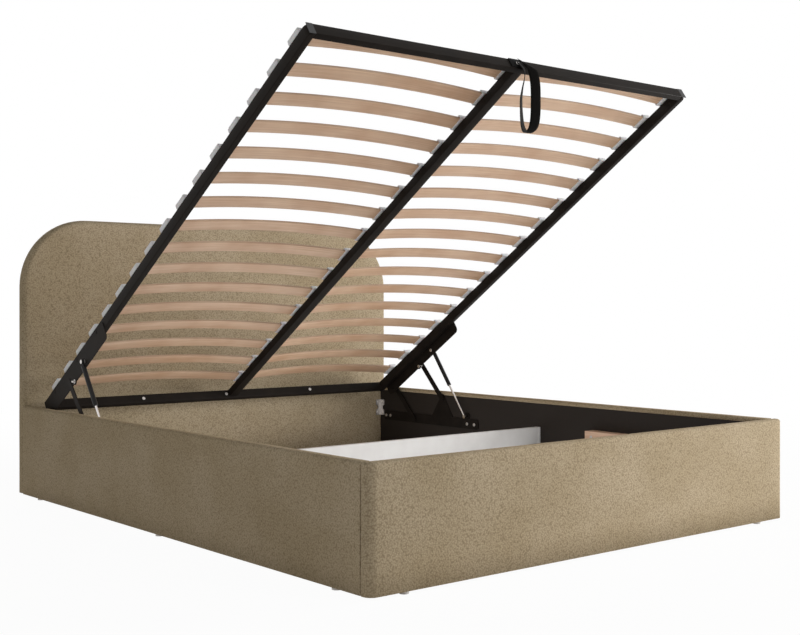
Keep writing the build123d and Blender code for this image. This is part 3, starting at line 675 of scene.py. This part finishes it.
# Slat holders: blocks moulded in pale grey polypropylene, which stand on the side tubes and on the
# centre tube. Each takes the end of one slat in a pocket and reaches out past its tube.
holder_length = 0.058
holder_height = 0.018
holder_round = 0.0035
side_reach = 0.015
centre_reach = 0.0075
centre_gap = 0.0005
lip_thickness = 0.0022
mouth_wall = 0.002
mouth_play = 0.00045
pocket_depth = 0.034
flow_size = 1 / 60
moulded_grain = 1 / 900
plug_flow_size = 0.005

# Polypropylene: moulded, slightly waxy and translucent grey, with a soft sheen.
polypropylene, tree, shader, point = new_finish("moulded_polypropylene")
flow = add_node(tree, "ShaderNodeTexNoise", {"Vector": point, "Scale": 1 / flow_size, "Detail": 3.0})
tone = add_node(tree, "ShaderNodeValToRGB", {"Fac": flow}, stops=((0.3, "eae8e9"), (0.7, "f3f2f2")))
skin = add_node(tree, "ShaderNodeTexNoise", {"Vector": point, "Scale": 1 / moulded_grain, "Detail": 1.0})
bump = add_node(tree, "ShaderNodeBump", {"Height": skin, "Strength": 0.12, "Distance": 0.0002})
feed(tree, shader, {"Base Color": tone, "Normal": bump, "Roughness": 0.48, "Subsurface Weight": 0.08,
                    "Subsurface Scale": 0.004})


def face_at(faces, x):
    """The face whose middle is nearest to a place across the lid."""
    return min(faces, key=lambda face: abs(face.calc_center_median().x - x))


def holder_row(name, node_name, tube_end, mouth):
    """Sixteen holders on one tube: tube_end is their far side, mouth the side the slat enters."""
    work = bmesh.new()
    low_x, high_x = min(tube_end, mouth), max(tube_end, mouth)
    rise = bow(mouth)
    inward = math.copysign(pocket_depth, tube_end - mouth)
    under_lip = slat_seat + rise - lip_thickness
    for row in range(slat_count):
        made = bmesh.new()
        add_box(made, (low_x, -holder_length / 2, tube_height),
                (high_x, holder_length / 2, tube_height + holder_height))
        mouth_edges = list(face_at(made.faces, mouth).edges)
        round_edges(made, [e for e in made.edges if e not in mouth_edges], holder_round, fine_steps)
        face = face_at([f for f in made.faces if abs(f.normal.x) > face_towards], mouth)
        bmesh.ops.inset_region(made, faces=[face], thickness=mouth_wall, use_even_offset=True)
        for vert in face.verts:
            vert.co.y = math.copysign(slat_width / 2 + mouth_play, vert.co.y)
            upper = vert.co.z > tube_height + holder_height / 2
            vert.co.z = slat_seat + rise + (slat_thickness + mouth_play if upper else -mouth_play)
        pushed = bmesh.ops.extrude_discrete_faces(made, faces=[face])["faces"][0]
        for vert in pushed.verts:
            vert.co.x += inward
            vert.co.z += bow(mouth + inward) - rise
        for vert in made.verts:
            if abs(vert.co.x - mouth) < on_face and vert.co.z < under_lip:
                vert.co.z = under_lip
        bmesh.ops.translate(made, vec=(0, -first_slat - row * slat_pitch, 0), verts=made.verts)
        join_to(work, made)
    piece = finish_piece(on_lid(work), name, "lid", polypropylene)
    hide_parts(node_name)


for side, sign in (("right", 1), ("left", -1)):
    holder_row("side_holders_" + side, "slat_holders_" + side, sign * lid_half_width,
               sign * (tube_inner - side_reach))
    holder_row("centre_holders_" + side, "slat_holders_centre_" + side, sign * centre_gap,
               sign * (centre_width / 2 + centre_reach))

# White plastic: the three snap-in plugs of the rear bar and the glides, plain and slightly shiny.
white_plug, tree, shader, point = new_finish("moulded_white_plug")
flow = add_node(tree, "ShaderNodeTexNoise", {"Vector": point, "Scale": 1 / plug_flow_size, "Detail": 2.0})
tone = add_node(tree, "ShaderNodeValToRGB", {"Fac": flow}, stops=((0.3, "dfdcd9"), (0.7, "e9e6e3")))
feed(tree, shader, {"Base Color": tone, "Roughness": 0.4})
dress(["lid_bar_plugs", "floor_glides"], white_plug)


# Pull strap: a loop of black polyester webbing whose folded end is bolted to the front bar. Seen from
# the camera its right strand hangs flat, and its left strand has turned almost edge-on.
strap_width = 0.03
strap_thickness = 0.0018
strap_length = 0.46
strap_steps = 96
strap_strips = 4
strap_clear = 0.002
fold_low = (-0.05, -0.0036, 0.003)
fold_high = (0.0, 0.0, 0.035)
fold_round = 0.0015
fold_steps = 2
weave_size = 0.0022

# The loop's course, given row by row: place across, drop below the bar's top, turn and tip in degrees.
strap_rows = (
    (0.000, 0.004, 10, 30), (0.007, 0.006, 20, 25), (0.014, 0.014, 30, 20), (0.021, 0.024, 36, 12),
    (0.031, 0.046, 40, 4), (0.0375, 0.080, 40, 0), (0.0385, 0.131, 40, 0), (0.0375, 0.166, 38, 0),
    (0.034, 0.190, 34, 0), (0.028, 0.207, 22, 0), (0.015, 0.218, 5, 0), (0.001, 0.218, -10, 0),
    (-0.010, 0.207, -20, 0), (-0.0165, 0.189, -26, 0), (-0.021, 0.155, -31, 0), (-0.022, 0.121, -34, 0),
    (-0.0165, 0.086, -41, 0), (-0.010, 0.061, -44, 0), (-0.009, 0.044, -40, 0), (-0.011, 0.027, -25, 0),
    (-0.013, 0.012, -10, 20))

# Webbing: polyester threads in a tight herringbone, dull black with a faint diagonal rib.
webbing, tree, shader, point = new_finish("woven_webbing")
thread_point = add_node(tree, "ShaderNodeUVMap", uv_map="threads")
ribs = add_node(tree, "ShaderNodeTexWave", {
    "Vector": thread_point, "Scale": 1 / weave_size / 3, "Distortion": 1.2, "Detail": 1.0},
    wave_type="BANDS", bands_direction="DIAGONAL").outputs["Fac"]
tone = add_node(tree, "ShaderNodeValToRGB", {"Fac": ribs}, stops=((0.1, "0a0908"), (0.9, "191614")))
bump = add_node(tree, "ShaderNodeBump", {"Height": ribs, "Strength": 0.6, "Distance": 0.0004})
feed(tree, shader, {"Base Color": tone, "Normal": bump, "Roughness": 0.85, "Specular IOR Level": 0.12,
                    "Sheen Weight": 0.05})

bar_top = lid_place @ Vector((0, -lid_length, tube_height))
bar_foot = lid_place @ Vector((0, -lid_length, 0))


def strap_row(t):
    """The row of (x, drop, turn, tip) at a share of the loop, smoothed between the rows given."""
    place = t * (len(strap_rows) - 1)
    i = min(int(place), len(strap_rows) - 2)
    u = place - i
    before, start, end, after = (strap_rows[min(max(i + k, 0), len(strap_rows) - 1)] for k in (-1, 0, 1, 2))
    return [q + u / 2 * (r - p + u * (2 * p - 5 * q + 4 * r - s + u * (3 * (q - r) + s - p)))
            for p, q, r, s in zip(before, start, end, after)]


def strap_place(t, across):
    """A point of the webbing: t runs down the right strand and up the left, across from -0.5 to 0.5."""
    x, drop, turn, tip = strap_row(t)
    turn, tip = math.radians(turn), math.radians(tip)
    way = Vector((math.cos(turn) * math.cos(tip), -math.sin(turn) * math.cos(tip), -math.sin(tip)))
    down = min(max(drop / (bar_top.z - bar_foot.z), 0), 1)
    y = bar_top.y + (bar_foot.y - bar_top.y) * down - strap_clear - strap_width / 2 * abs(way.y)
    return Vector((x, y, bar_top.z - drop)) + way * strap_width * across


strap_work = bmesh.new()
bmesh.ops.create_grid(strap_work, x_segments=strap_steps, y_segments=strap_strips, size=0.5)
threads = strap_work.loops.layers.uv.new("threads")
places = {vert: vert.co.xy.copy() for vert in strap_work.verts}
for face in strap_work.faces:
    for loop in face.loops:
        along, across = places[loop.vert]
        loop[threads].uv = (along * strap_length, across * strap_width)
for vert, (along, across) in places.items():
    vert.co = strap_place(along + 0.5, across)

bar_front = Vector((0, -lid_length, 0))
fold_work = box_work(bar_front + Vector(fold_low), bar_front + Vector(fold_high))
round_edges(fold_work, fold_work.edges, fold_round, fold_steps)
strap_fold = finish_piece(on_lid(fold_work), "webbing_strap_fold", "lid", webbing)
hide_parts("pull_strap")
strap = finish_piece(strap_work, "webbing_pull_strap", "lid", webbing, sharp=80.0)
thicken = strap.modifiers.new("webbing_thickness", "SOLIDIFY")
thicken.thickness = strap_thickness
thicken.offset = 0.0
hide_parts("pull_strap")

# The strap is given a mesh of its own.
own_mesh(strap)
